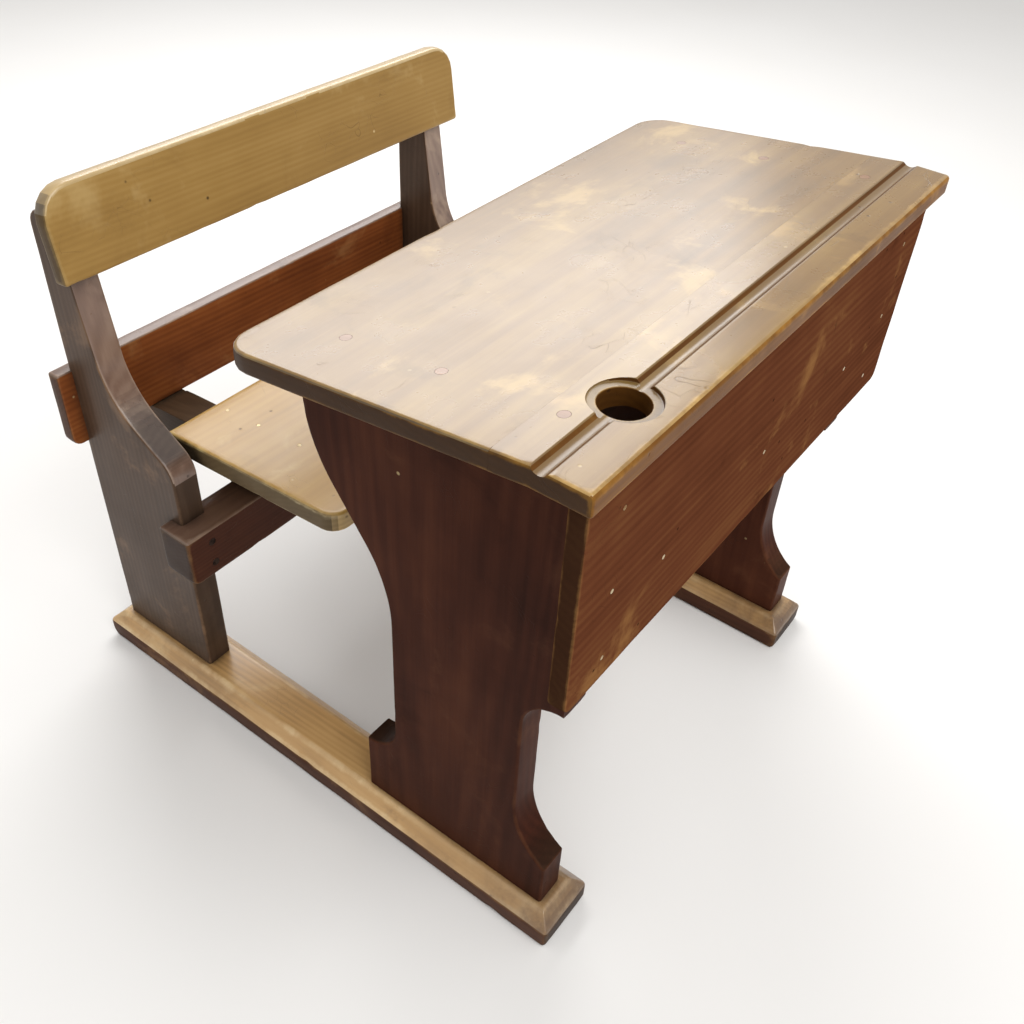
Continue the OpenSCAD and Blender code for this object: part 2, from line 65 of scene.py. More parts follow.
class Outline:
    """A closed outline, counter-clockwise: corners with a rounding radius, and how exposed
    the edge after each corner is (0 for an edge buried in a joint, 1 for an open one)."""

    def __init__(self):
        self.points, self.radii, self.open = [], [], []

    def add(self, points, radius=0.0, exposed=1.0):
        if not isinstance(points, list):
            points = [points]
        for p in points:
            self.points.append(Vector(p[:2]))
            self.radii.append(radius)
            self.open.append(exposed)
        return self

    def inset(self, distance):
        """The outline with its open edges moved inwards by a distance."""
        n = len(self.points)
        moved = []
        for i in range(n):
            here = self.points[i]
            before = (here - self.points[i - 1]).normalized()
            after = (self.points[(i + 1) % n] - here).normalized()
            n1, n2 = Vector((-before.y, before.x)), Vector((-after.y, after.x))
            d1, d2 = distance * self.open[i - 1], distance * self.open[i]
            cross = n1.x * n2.y - n1.y * n2.x
            if abs(cross) < (1e-4 if d1 == d2 else 0.3):
                shift = n1 * (d1 + d2) / 2
            else:
                shift = Vector(((d1 * n2.y - d2 * n1.y) / cross, (d2 * n1.x - d1 * n2.x) / cross))
            moved.append(here + shift)
        return moved

    def counts(self, pitch):
        """How many pieces each edge is divided into."""
        n = len(self.points)
        return [max(1, math.ceil((self.points[(i + 1) % n] - self.points[i]).length / pitch))
                for i in range(n)]

    def ring(self, distance, counts, steps=5):
        """One closed ring at an inset: [(u, v, openness, cornerness)], always as many points."""
        n = len(self.points)
        sharp = self.inset(distance)
        pieces = []
        for i in range(n):
            here, prev, nxt = sharp[i], sharp[i - 1], sharp[(i + 1) % n]
            if self.radii[i] == 0:
                pieces.append([here])
                continue
            e1, e2 = (here - prev).normalized(), (nxt - here).normalized()
            turn = math.atan2(e1.x * e2.y - e1.y * e2.x, e1.dot(e2))
            shrink = distance * (self.open[i - 1] + self.open[i]) / 2
            radius = max(self.radii[i] - shrink, 0) if turn > 0 else self.radii[i] + shrink
            start = here - e1 * radius * math.tan(abs(turn) / 2)
            side = 1 if turn > 0 else -1
            centre = start + Vector((-e1.y, e1.x)) * radius * side
            spoke = start - centre
            pieces.append([])
            for k in range(steps + 1):
                a = turn * k / steps
                pieces[-1].append(centre + Vector((
                    spoke.x * math.cos(a) - spoke.y * math.sin(a),
                    spoke.x * math.sin(a) + spoke.y * math.cos(a))))
        ring = []
        for i in range(n):
            is_corner = self.radii[i] > 0
            worn = (1.0 if self.radii[i] < 7 else 0.5) if is_corner else 0.0
            worn *= min(self.open[i - 1], self.open[i])
            for p in pieces[i]:
                ring.append((p.x, p.y, max(self.open[i - 1], self.open[i]) if is_corner
                             else self.open[i], worn))
            j = (i + 1) % n
            length = (self.points[j] - self.points[i]).length
            count = counts[i]
            a, b = pieces[i][-1], pieces[j][0]
            corner_a = worn
            corner_b = (1.0 if self.radii[j] < 7 else 0.5) if self.radii[j] > 0 else 0.0
            corner_b *= min(self.open[i], self.open[j])
            for k in range(1, count):
                p = a.lerp(b, k / count)
                near = max(corner_a * (1 - k / count * length / WEAR_BAND),
                           corner_b * (1 - (1 - k / count) * length / WEAR_BAND), 0.0)
                ring.append((p.x, p.y, self.open[i], near))
        return ring


WEAR_BAND = 4.5  # how far rubbed varnish reaches from an edge
ARC_STEPS = 4


def edge_levels(thickness, first, second, band=WEAR_BAND):
    """(inset, height, wear) up through a board whose two faces have rounded edges."""
    levels = [(first + band, 0, 0.0), (first, 0, 0.8)]
    for k in range(1, ARC_STEPS + 1):
        a = math.radians(90 * k / ARC_STEPS)
        levels.append((first * (1 - math.sin(a)), first * (1 - math.cos(a)), 1.0 if k < ARC_STEPS else 0.8))
    if thickness > first + second + 2 * band:
        levels += [(0, first + band, 0.0), (0, thickness - second - band, 0.0)]
    else:
        levels.append((0, thickness / 2, max(0.0, 0.8 - (thickness - first - second) / 2 / band)))
    for k in range(ARC_STEPS + 1):
        a = math.radians(90 * k / ARC_STEPS)
        levels.append((second * (1 - math.cos(a)), thickness - second * (1 - math.sin(a)),
                       1.0 if 0 < k < ARC_STEPS else 0.8))
    levels.append((second + band, thickness, 0.0))
    return levels


# ---------------------------------------------------------------- meshes


def new_object(name, bm):
    mesh = bpy.data.meshes.new(name)
    bm.to_mesh(mesh)
    bm.free()
    piece = bpy.data.objects.new(name, mesh)
    bpy.context.scene.collection.objects.link(piece)
    return piece


def erode(bm, wear, depth, seed):
    """Rubs the open edges back unevenly, with a chip here and there."""
    bm.normal_update()
    shifts = []
    for v in bm.verts:
        if v[wear] < 0.75:
            continue
        here = v.co / MM
        rub = 0.5 + 0.5 * noise.noise(here / 38 + Vector((seed, 0, 0)))
        chip = max(0.0, noise.noise(here / 9 + Vector((0, seed, 0))) - 0.42) * 5
        shifts.append((v, v.normal * -(depth * rub + depth * chip) * MM))
    for v, shift in shifts:
        v.co += shift


def board(name, rings, place, grain, seed, erosion=0.5):
    """Skins rings [(u, v, wear)] at heights into a closed board, with its finish painted on.
    The finish attribute holds wear, end grain and how much darker carved faces are made, for the materials."""
    bm = bmesh.new()
    wear = bm.verts.layers.float.new("wear_value")
    rows = []
    for ring, height in rings:
        row = []
        for u, v, w in ring:
            vert = bm.verts.new(Vector(place(u, v, height)) * MM)
            vert[wear] = w
            row.append(vert)
        rows.append(row)
    n = len(rows[0])
    for low, high in zip(rows, rows[1:]):
        for i in range(n):
            j = (i + 1) % n
            bm.faces.new((low[i], low[j], high[j], high[i]))
    bm.faces.new(rows[0][::-1])
    bm.faces.new(rows[-1])
    bmesh.ops.remove_doubles(bm, verts=bm.verts, dist=0.02 * MM)
    bmesh.ops.dissolve_degenerate(bm, edges=bm.edges, dist=0.01 * MM)
    bmesh.ops.recalc_face_normals(bm, faces=bm.faces)
    if erosion:
        erode(bm, wear, erosion, seed)
    bm.normal_update()
    finish = bm.loops.layers.float_color.new("finish")
    for face in bm.faces:
        end = min(max((abs(face.normal[grain]) - 0.5) / 0.35, 0.0), 1.0)
        for loop in face.loops:
            loop[finish] = (loop.vert[wear], end, 0.0, 1.0)
    return new_object(name, bm)


def plank(name, outline, thickness, place, grain, seed, edges=(2.5, 2.5), pitch=11, band=WEAR_BAND,
          **more):
    """A flat board: an outline given a thickness, both faces' edges rounded."""
    rings = []
    counts = outline.counts(pitch)
    for inset, height, wear in edge_levels(thickness, *edges, band):
        rim = max(edges)
        fade = 1 - max(0.0, inset - rim) / band
        ring = [(u, v, max(wear * is_open, corner * fade))
                for u, v, is_open, corner in outline.ring(inset, counts)]
        rings.append((ring, height))
    return board(name, rings, place, grain, seed, **more)


def turned(bm, profile, place, segments=64):
    """Adds a closed turned solid: profile [(radius, height, wear)] from axis to axis."""
    wear = bm.verts.layers.float.get("wear_value") or bm.verts.layers.float.new("wear_value")
    rows = []
    for radius, height, worn in profile:
        count = 1 if radius == 0 else segments
        row = []
        for k in range(count):
            a = 2 * math.pi * k / segments
            v = bm.verts.new(Vector(place(radius * math.cos(a), radius * math.sin(a), height)) * MM)
            v[wear] = worn
            row.append(v)
        rows.append(row)
    for low, high in zip(rows, rows[1:]):
        for k in range(segments):
            j = (k + 1) % segments
            loop = [low[k % len(low)], low[j % len(low)], high[j % len(high)], high[k % len(high)]]
            corners = list(dict.fromkeys(loop))
            if len(corners) > 2:
                bm.faces.new(corners)


def prism(bm, section, place, start, end):
    """Adds a closed prism: a section [(u, v)] run from start to end."""
    bm.verts.layers.float.get("wear_value") or bm.verts.layers.float.new("wear_value")
    rows = [[bm.verts.new(Vector(place(u, v, h)) * MM) for u, v in section] for h in (start, end)]
    n = len(section)
    for i in range(n):
        bm.faces.new((rows[0][i], rows[0][(i + 1) % n], rows[1][(i + 1) % n], rows[1][i]))
    bm.faces.new(rows[0][::-1])
    bm.faces.new(rows[1])


def carve(piece, solids, recess_darkening=0.5):
    """Cuts closed solids out of a piece for good: each is (turned or prism, its arguments)."""
    bm = bmesh.new()
    for shape, *arguments in solids:
        shape(bm, *arguments)
    bmesh.ops.recalc_face_normals(bm, faces=bm.faces)
    wear = bm.verts.layers.float.get("wear_value")
    finish = bm.loops.layers.float_color.new("finish")
    for face in bm.faces:
        for loop in face.loops:
            # The faces cut by these solids are made darker by the third value
            loop[finish] = (loop.vert[wear], 0.0, recess_darkening, 1.0)
    cutter = new_object("cutter", bm)
    modifier = piece.modifiers.new("carve", "BOOLEAN")
    modifier.operation = "DIFFERENCE"
    modifier.solver = "EXACT"
    modifier.object = cutter
    bpy.context.view_layer.update()
    cut = piece.evaluated_get(bpy.context.evaluated_depsgraph_get())
    mesh = bpy.data.meshes.new_from_object(cut)
    piece.modifiers.clear()
    old = piece.data
    piece.data = mesh
    bpy.data.meshes.remove(old)
    bpy.data.objects.remove(cutter)


def smooth(piece, angle=35):
    """Smooth shading that keeps flat faces flat and sharp edges sharp."""
    mesh = piece.data
    mesh.shade_smooth()
    mesh.set_sharp_from_angle(angle=math.radians(angle))
    weighted = piece.modifiers.new("flat faces", "WEIGHTED_NORMAL")
    weighted.keep_sharp = True
    weighted.weight = 80


def bore(x, y, z, radius, depth, axis):
    """A cylinder cutter from 2 mm outside a surface point to a depth below it; the axis points
    out of the surface."""
    out = Vector(axis).normalized()
    side = out.orthogonal().normalized()
    up = out.cross(side)

    def place(a, b, h):
        return Vector((x, y, z)) + side * a + up * b + out * h
    return (turned, [(0, -depth, 0), (radius, -depth, 0), (radius, 2, 0), (0, 2, 0)], place, 32)


# Up-facing faces: these take the copy of a wood toned for the light from above
def looks_up(normal, centre):
    return normal.z > 0.3


def add(piece, node, body, material, edge_material=None, bright=looks_up):
    """Finishes a piece that stands for one CAD node. Faces picked by bright take the first
    material, and the rest the second, where there is one: two copies of one wood, each with
    the light that falls on its faces painted into its tone."""
    smooth(piece)
    piece.data.materials.append(material)
    if edge_material:
        piece.data.materials.append(edge_material)
        for face in piece.data.polygons:
            face.material_index = 0 if bright(face.normal, face.center) else 1
    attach(piece, body)
    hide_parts(node)
    return piece


# ---------------------------------------------------------------- materials


def linear(code):
    """A hex colour as linear RGBA."""
    parts = [int(code[k:k + 2], 16) / 255 for k in (0, 2, 4)]
    return tuple(c / 12.92 if c < 0.04045 else ((c + 0.055) / 1.055) ** 2.4 for c in parts) + (1.0,)


class Graph:
    """A material's node tree, with short calls for the nodes used here."""

    def __init__(self, name):
        self.material = bpy.data.materials.new(name)
        self.material.use_nodes = True
        self.tree = self.material.node_tree
        self.tree.nodes.clear()

    def node(self, kind, settings=None, **inputs):
        node = self.tree.nodes.new("ShaderNode" + kind)
        for key, value in (settings or {}).items():
            setattr(node, key, value)
        for key, value in inputs.items():
            self.feed(node.inputs[key.replace("_", " ")], value)
        return node

    def feed(self, socket, value):
        if isinstance(value, bpy.types.NodeSocket):
            self.tree.links.new(value, socket)
        else:
            socket.default_value = value

    def math(self, operation, *values, clamp=False):
        node = self.node("Math", {"operation": operation, "use_clamp": clamp})
        for socket, value in zip(node.inputs, values):
            self.feed(socket, value)
        return node.outputs[0]

    def between(self, value, low, high, to_low=0.0, to_high=1.0):
        """A smooth step of a value from one range to another."""
        node = self.node("MapRange", {"interpolation_type": "SMOOTHSTEP"}, Value=value)
        for key, number in zip(("From Min", "From Max", "To Min", "To Max"), (low, high, to_low, to_high)):
            self.feed(node.inputs[key], number)
        return node.outputs[0]

    def mix(self, factor, first, second, blend="MIX"):
        node = self.node("Mix", {"data_type": "RGBA", "blend_type": blend})
        self.feed(node.inputs[0], factor)
        self.feed(node.inputs[6], first)
        self.feed(node.inputs[7], second)
        return node.outputs[2]

    def ramp(self, factor, stops):
        node = self.node("ValToRGB", Fac=factor)
        ramp = node.color_ramp
        ramp.elements[0].position, ramp.elements[0].color = stops[0]
        ramp.elements[1].position, ramp.elements[1].color = stops[-1]
        for position, colour in stops[1:-1]:
            ramp.elements.new(position).color = colour
        return node.outputs[0]

    def split(self, vector):
        return self.node("SeparateXYZ", Vector=vector).outputs

    def join(self, x, y, z):
        return self.node("CombineXYZ", X=x, Y=y, Z=z).outputs[0]

    def noise(self, vector, scale, detail=3.0, roughness=0.55, distortion=0.0):
        return self.node("TexNoise", Vector=vector, Scale=scale, Detail=detail,
                         Roughness=roughness, Distortion=distortion).outputs[0]

    def voronoi(self, vector, scale, feature="F1"):
        return self.node("TexVoronoi", {"feature": feature}, Vector=vector, Scale=scale)

    def surface(self, colour, roughness, height, bump, depth, **constants):
        """Joins colour, roughness and height to a Principled surface."""
        shader = self.node("BsdfPrincipled", Base_Color=colour, Roughness=roughness)
        for key, value in constants.items():
            shader.inputs[key.replace("_", " ")].default_value = value
        relief = self.node("Bump", Height=height, Strength=bump, Distance=depth)
        self.feed(shader.inputs["Normal"], relief.outputs[0])
        output = self.node("OutputMaterial")
        self.feed(output.inputs[0], shader.outputs[0])
        return self.material


def timber(name, grain, tones, worn, seed, ring=5.0, figure=0.5, gloss=0.36, rub=1.0, stain=0.5,
           specks=0.5, shine=0.3, coat=0.0, patches=0.3, darker_span=None):
    """Old varnished wood. tones run dark, middle, light; ring is the growth rings' width in mm;
    figure, rub, stain, specks and patches say how strongly grain, worn edges, stains, dents and
    pale patches show; shine and coat are the varnish; darker_span is (dark, plain), two places
    along the grain between which the wood turns from darker to its plain tone. Corners and the
    gaps between parts also take painted shade."""
    g = Graph(name)
    here = g.node("TexCoord").outputs["Object"]
    x, y, z = g.split(here)
    along, across, deep = {"X": (x, y, z), "Y": (y, x, z), "Z": (z, x, y)}[grain]
    shifted = g.node("VectorMath", {"operation": "ADD"})
    g.feed(shifted.inputs[0], here)
    shifted.inputs[1].default_value = (seed * 1.37, seed * 0.71, seed * 2.13)
    spot = shifted.outputs[0]

    # Growth rings round a pith that runs slightly askew beside the board
    log = g.join(g.math("MULTIPLY_ADD", along, 0.07, seed),
                 g.math("MULTIPLY_ADD", along, 0.035, g.math("ADD", across, 0.09 + 0.05 * math.sin(seed))),
                 g.math("ADD", deep, 0.16 + 0.04 * math.cos(seed * 2)))
    rings = g.node("TexWave", {"wave_type": "RINGS", "rings_direction": "X"}, Vector=log,
                   Scale=314 / ring, Distortion=9.0, Detail=3.0, Detail_Scale=0.35,
                   Detail_Roughness=0.6).outputs[1]
    fibre = g.noise(g.join(g.math("MULTIPLY_ADD", along, 9, seed), g.math("MULTIPLY", across, 240),
                           g.math("MULTIPLY", deep, 240)), 1.0, 4.0, 0.65)
    streak = g.noise(g.join(g.math("MULTIPLY_ADD", along, 2.2, seed * 3), g.math("MULTIPLY", across, 34),
                            g.math("MULTIPLY", deep, 34)), 1.0, 3.0, 0.6)
    cloud = g.noise(spot, 5.5, 4.0, 0.6)
    tone = g.math("MULTIPLY_ADD", rings, 0.14, g.math("MULTIPLY_ADD", fibre, 0.30,
                  g.math("MULTIPLY_ADD", streak, 0.60, g.math("MULTIPLY_ADD", cloud, 0.9, -0.97))))
    tone = g.math("MULTIPLY_ADD", tone, figure, 0.5)
    dark, middle, light = (linear(c) for c in tones)
    colour = g.ramp(tone, [(0.2, dark), (0.5, middle), (0.8, light)])

    # Pale rubbed patches, then darker stains with soft ragged rims
    patch = g.between(g.noise(spot, 11.0, 5.0, 0.62, 0.4), 0.56, 0.70, 0.0, patches)
    colour = g.mix(patch, colour, linear(worn))
    blot = g.between(g.noise(spot, 8.0, 6.0, 0.65, 0.8), 0.56, 0.72, 0.0, stain)
    colour = g.mix(blot, colour, dark)

    # Dents and specks
    cell = g.voronoi(spot, 46.0)
    lucky = g.between(g.split(cell.outputs["Color"])[0], 0.78, 0.80)
    dent = g.math("MULTIPLY", g.between(cell.outputs["Distance"], 0.03, 0.11, 1.0, 0.0), lucky)
    colour = g.mix(g.math("MULTIPLY", dent, specks), colour, linear("2a1a12"))
    pale = g.voronoi(spot, 31.0)
    pale_luck = g.between(g.split(pale.outputs["Color"])[1], 0.86, 0.88)
    chip = g.math("MULTIPLY", g.between(pale.outputs["Distance"], 0.03, 0.07, 1.0, 0.0), pale_luck)
    colour = g.mix(g.math("MULTIPLY", chip, specks), colour, linear("d9c08e"))

    # Fine scratches
    bent = g.node("VectorMath", {"operation": "ADD"})
    g.feed(bent.inputs[0], spot)
    g.feed(bent.inputs[1], g.node("TexNoise", Vector=spot, Scale=7.0, Detail=2.0).outputs[1])
    crack = g.voronoi(bent.outputs[0], 13.0, "DISTANCE_TO_EDGE").outputs["Distance"]
    scratch = g.math("MULTIPLY", g.between(crack, 0.0, 0.009, 1.0, 0.0),
                     g.between(g.noise(spot, 17.0, 2.0), 0.56, 0.64))
    colour = g.mix(g.math("MULTIPLY", scratch, 0.35), colour, linear("3a281c"))

    # Painted finish: worn edges, end grain, darker carved faces, and painted shade in corners and between
    # parts
    wear, end, recess_dark = g.node("SeparateColor", Color=g.node(
        "Attribute", {"attribute_name": "finish"}).outputs["Color"]).outputs
    ragged = g.noise(spot, 42.0, 5.0, 0.7)
    patchy = g.between(g.noise(spot, 10.0, 3.0, 0.6), 0.35, 0.65, 0.15, 1.0)
    bare = g.math("MULTIPLY", patchy, g.between(
        g.math("MULTIPLY_ADD", ragged, 1.1, wear), 1.25, 1.8, 0.0, 0.8 * rub))
    colour = g.mix(g.math("MULTIPLY", end, 0.8), colour, linear("2b1f16"))
    colour = g.mix(bare, colour, linear(worn))
    # Ambient occlusion: painted shade in corners, creases and between parts, laid on as a dark brown
    corner = g.node("AmbientOcclusion", {"samples": 6}, Distance=0.016).outputs["AO"]
    recess_dark_and_painted_shade = g.math("MAXIMUM", g.math("MULTIPLY", recess_dark, 0.75),
                   g.math("MULTIPLY", g.between(corner, 0.35, 0.85, 1.0, 0.0),
                          g.between(g.noise(spot, 26.0, 4.0), 0.25, 0.65, 0.25, 0.8)))
    # Darker towards one end along the grain, fading to the plain tone between the two given places
    if darker_span:
        span_darkening = g.math("MULTIPLY", g.between(along, darker_span[0], darker_span[1], 1.0, 0.0),
                      g.between(g.noise(spot, 14.0, 5.0, 0.7), 0.35, 0.65, 0.5, 0.95))
        colour = g.mix(span_darkening, colour, dark)
    colour = g.mix(recess_dark_and_painted_shade, colour, linear("20160f"))

    smear = g.noise(spot, 13.0, 5.0, 0.65)
    rough = g.math("MULTIPLY_ADD", smear, 0.22, gloss - 0.11)
    rough = g.math("MULTIPLY_ADD", bare, 0.16, rough)
    rough = g.math("MULTIPLY_ADD", recess_dark_and_painted_shade, 0.3, rough)
    rough = g.math("MULTIPLY_ADD", blot, 0.08, rough, clamp=True)
    height = g.math("MULTIPLY_ADD", fibre, 0.35, g.math("MULTIPLY", rings, 0.10))
    height = g.math("MULTIPLY_ADD", dent, -2.4 * specks, height)
    height = g.math("MULTIPLY_ADD", chip, -1.5 * specks, height)
    height = g.math("MULTIPLY_ADD", scratch, -0.6, height)
    height = g.math("MULTIPLY_ADD", g.noise(spot, 16.0, 3.0), 1.3, height)
    height = g.math("MULTIPLY_ADD", g.math("MULTIPLY", wear, ragged), 0.9, height)
    return g.surface(colour, rough, height, 0.45, 0.0006, Coat_Weight=coat, Coat_Roughness=0.25,
                     Coat_IOR=1.5, Specular_IOR_Level=shine)


def metal(name, clean, rust, seed, roughness=0.45, rusty=0.5):
    """Old steel or iron with brown patches and pitting."""
    g = Graph(name)
    here = g.node("TexCoord").outputs["Object"]
    shifted = g.node("VectorMath", {"operation": "ADD"})
    g.feed(shifted.inputs[0], here)
    shifted.inputs[1].default_value = (seed, seed * 2, seed * 3)
    spot = shifted.outputs[0]
    cloud = g.noise(spot, 90.0, 5.0, 0.7)
    patch = g.between(cloud, 0.62 - 0.3 * rusty, 0.75 - 0.2 * rusty)
    grain = g.noise(spot, 900.0, 3.0, 0.6)
    colour = g.mix(g.math("MULTIPLY", grain, 0.5), linear(clean), linear(rust))
    colour = g.mix(patch, colour, linear(rust))
    rough = g.math("MULTIPLY_ADD", patch, 0.3, g.math("MULTIPLY_ADD", grain, 0.2, roughness - 0.1))
    height = g.math("MULTIPLY_ADD", patch, 0.6, grain)
    return g.surface(colour, rough, height, 0.5, 0.0002, Metallic=0.75)


# ---------------------------------------------------------------- sizes


def span(node):
    """A CAD node's lowest and highest corners in millimetres."""
    low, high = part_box(node)
    return Vector(low) / MM, Vector(high) / MM


RUNNER_BEVEL, RUNNER_HEEL, RUNNER_TOE = 14.0, 14.0, 6.0
RUNNER_SCREWS = (-270, -130, 210, 293)
SLOPE = math.tan(math.radians(6.8))
SLOPE_START = -295.0
GROOVE_Y, GROOVE_R, GROOVE_LIFT = -302.5, 8.5, 4.0
WELL_X, WELL_R, RIM_R, RIM_DEPTH = -221.0, 20.0, 28.0, 4.0
LEG_FRONT, LEG_BACK, HEAD_LOW, HEEL_Y, HEEL_RISE = -277.0, -124.5, 339.0, -85.0, 81.0
TOE_SCOOP_R, TOE_SCOOP_Z = 87.0, 173.0
SWEEP_Z, SWEEP_R1, SWEEP_R2, SWEEP_DEG, SWEEP_LEN = 319.6, 155.0, 143.0, 36.0, 58.0
NOSE_Z, NOSE_R, SHOULDER_DEG, SHOULDER_LEN, HOLLOW_R, LEAN = 322.0, 31.0, 57.0, 41.0, 94.0, 8.0
SEAT_FALL = math.tan(math.radians(3.8))
BOARD_T, REST_T = 20.0, 18.0
END_MID, STD_MID, BEARER_MID = 262.0, 261.0, 167.0  # the fixing lines, from the middle
TOP_PLUGS, PLUG_R = (-279.0, -170.0, -73.0), 5.0
SCREW_HOLE, RUNNER_HOLE, SCREW_SINK = 4.7, 4.8, 1.2
NAIL_HOLE, NAIL_SINK, SEAT_NAIL_SINK = 2.5, 1.5, 1.4
BEARER_LAND = 17.0  # the flat at a bearer's rear end
PIN_Y, PIN_Z, PIN_RELIEF, PIN_HALF = 200.65, 264.05, 4.7, 21.5

end_low, end_high = span("desk_end_left")
std_low, std_high = span("seat_standard_left")
runner_low, runner_high = span("runner_left")
rail_low, rail_high = span("pen_rail")
slope_low, slope_high = span("writing_slope")
panel_low, panel_high = span("front_panel")
shelf_low, shelf_high = span("book_shelf")
seat_low, seat_high = span("seat_board")
bearer_low, bearer_high = span("seat_bearer_left")
back_low, back_high = span("backrest_board")
lower_low, lower_high = span("back_rail")
beam_low, beam_high = span("seat_rail")

top_z = rail_high.z
strip_low = top_z - BOARD_T
foot_z = runner_high.z
slope_drop = BOARD_T * math.sqrt(1 + SLOPE * SLOPE)


def slope_z(y):
    """Height of the writing slope's face at depth y."""
    return top_z - max(0.0, y - SLOPE_START) * SLOPE


def seat_z(y):
    """Height of the seat's face at depth y."""
    return seat_high.z - (y - seat_low.y) * SEAT_FALL


# ---------------------------------------------------------------- the boards


def both(make):
    """Makes a piece for the left (+X) and for the right (-X)."""
    for side, name in ((1, "left"), (-1, "right")):
        make(side, name)


def runner(side, name):
    """A sledge foot: bevelled upper edges, a rounded heel and toe."""
    half = (runner_high.x - runner_low.x) / 2
    middle = (runner_high.x + runner_low.x) / 2 * side
    height = runner_high.z
    soft = 3.0
    levels = []  # (height, side inset, wear)
    flat = height - RUNNER_BEVEL
    levels.append((0, soft + WEAR_BAND, 0.0))
    levels.append((0, soft, 0.8))
    for k in range(1, 4):
        a = math.radians(30 * k)
        levels.append((soft * (1 - math.cos(a)), soft * (1 - math.sin(a)), 1.0))
    levels += [(RUNNER_HEEL * f, 0, 0.3) for f in (0.4, 0.65, 1.0)]
    levels.append((flat - 6, 0, 0.4))
    for k in range(4):
        a = math.radians(45 * k / 3)
        levels.append((flat - 3 + 7 * math.sin(a), 7 * (1 - math.cos(a)), 1.0))
    levels.append(((flat + height) / 2, RUNNER_BEVEL / 2, 0.4))
    for k in range(4):
        a = math.radians(45 + 45 * k / 3)
        levels.append((height - 7 * (1 - math.sin(a)), RUNNER_BEVEL + 2.9 - 7 * math.cos(a), 1.0))
    levels.append((height, RUNNER_BEVEL + 3 + WEAR_BAND, 0.0))
    rings, counts = [], None
    for z, inset, wear in levels:
        heel = RUNNER_HEEL - math.sqrt(max(0.0, RUNNER_HEEL ** 2 - max(0.0, RUNNER_HEEL - z) ** 2))
        toe = RUNNER_TOE - math.sqrt(max(0.0, RUNNER_TOE ** 2 - max(0.0, RUNNER_TOE - z) ** 2))
        front, back = runner_low.y + max(inset, toe), runner_high.y - max(inset, heel)
        if z == 0:
            front, back = runner_low.y + toe + inset, runner_high.y - heel - inset
        x = half - inset
        corner = Outline().add([(middle - x, front), (middle + x, front),
                                (middle + x, back), (middle - x, back)], max(0.5, 4 - inset / 4))
        counts = counts or corner.counts(12)
        ring = [(u, v, max(wear, c * 0.9 if 0 < z < height - 1 else 0))
                for u, v, _, c in corner.ring(0, counts)]
        rings.append((ring, z))
    piece = board(f"runner_{name}_wood", rings, lambda u, v, h: (u, v, h), 1, 3 + side, erosion=0.9)
    holes = []
    for screw_y in RUNNER_SCREWS:
        line = END_MID if screw_y < 0 else STD_MID
        holes.append(bore(line * side, screw_y, 0, RUNNER_HOLE, SCREW_SINK, (0, 0, -1)))
    carve(piece, holes)
    # The top faces take the runner's lit copy, toned much lighter than the sides: a painted sheen
    add(piece, f"runner_{name}", FRAME, runner_lit_top[name], runner_edge[name],
        lambda normal, centre: normal.z > 0.3 and centre.z > (flat - 3) * MM)


def desk_end(side, name):
    """A desk end: scooped foot, swept rear edge, hollow under the front panel."""
    toe_y, front = end_low.y, panel_high.y
    scoop = HEEL_Y - LEG_BACK
    a1 = math.radians(SWEEP_DEG)
    turn1 = (LEG_BACK + SWEEP_R1 * (1 - math.cos(a1)), SWEEP_Z + SWEEP_R1 * math.sin(a1))
    turn2 = (turn1[0] + SWEEP_LEN * math.sin(a1), turn1[1] + SWEEP_LEN * math.cos(a1))
    round_mid = (turn2[0] + SWEEP_R2 * (1 - math.cos(a1)) - SWEEP_R2, turn2[1] + SWEEP_R2 * math.sin(a1))
    toe_mid = (LEG_FRONT - TOE_SCOOP_R, TOE_SCOOP_Z)
    toe_angle = math.degrees(math.acos((toe_y - toe_mid[0]) / TOE_SCOOP_R))
    heel_top = foot_z + HEEL_RISE + scoop
    cove = LEG_FRONT - front
    cove_z = HEAD_LOW - cove
    o = Outline()
    o.add((toe_y, foot_z), 1.0, 0.0)
    o.add((HEEL_Y, foot_z), 1.0, 1.0)
    o.add(arc((HEEL_Y, heel_top), scoop, 270, 180, 9)[:1], 2.5)
    o.add(arc((HEEL_Y, heel_top), scoop, 270, 180, 9)[1:])
    o.add(arc((LEG_BACK + SWEEP_R1, SWEEP_Z), SWEEP_R1, 180, 180 - SWEEP_DEG, 12))
    o.add(arc(round_mid, SWEEP_R2, -SWEEP_DEG, 0, 12))
    y_back = round_mid[0] + SWEEP_R2
    o.add((y_back, slope_z(y_back) - slope_drop + 1), 0.0, 0.0)
    o.add((SLOPE_START, strip_low + 1), 0.0, 0.0)
    o.add((front, strip_low + 1), 0.0, 0.0)
    o.add((front, HEAD_LOW), 0.8, 1.0)
    o.add(arc((front, cove_z), cove, 90, 0, 10)[1:])
    o.add(arc(toe_mid, TOE_SCOOP_R, 0, -toe_angle, 14)[:-1])
    o.add(arc(toe_mid, TOE_SCOOP_R, 0, -toe_angle, 14)[-1:], 2.5)
    thickness = end_high.x - end_low.x
    x0 = end_low.x if side > 0 else -end_high.x

    piece = plank(f"desk_end_{name}_wood", o, thickness, lambda u, v, h: (x0 + h, u, v),
                  2, 11 + side, edges=(3, 3))
    add(piece, f"desk_end_{name}", FRAME, end_wood[name])


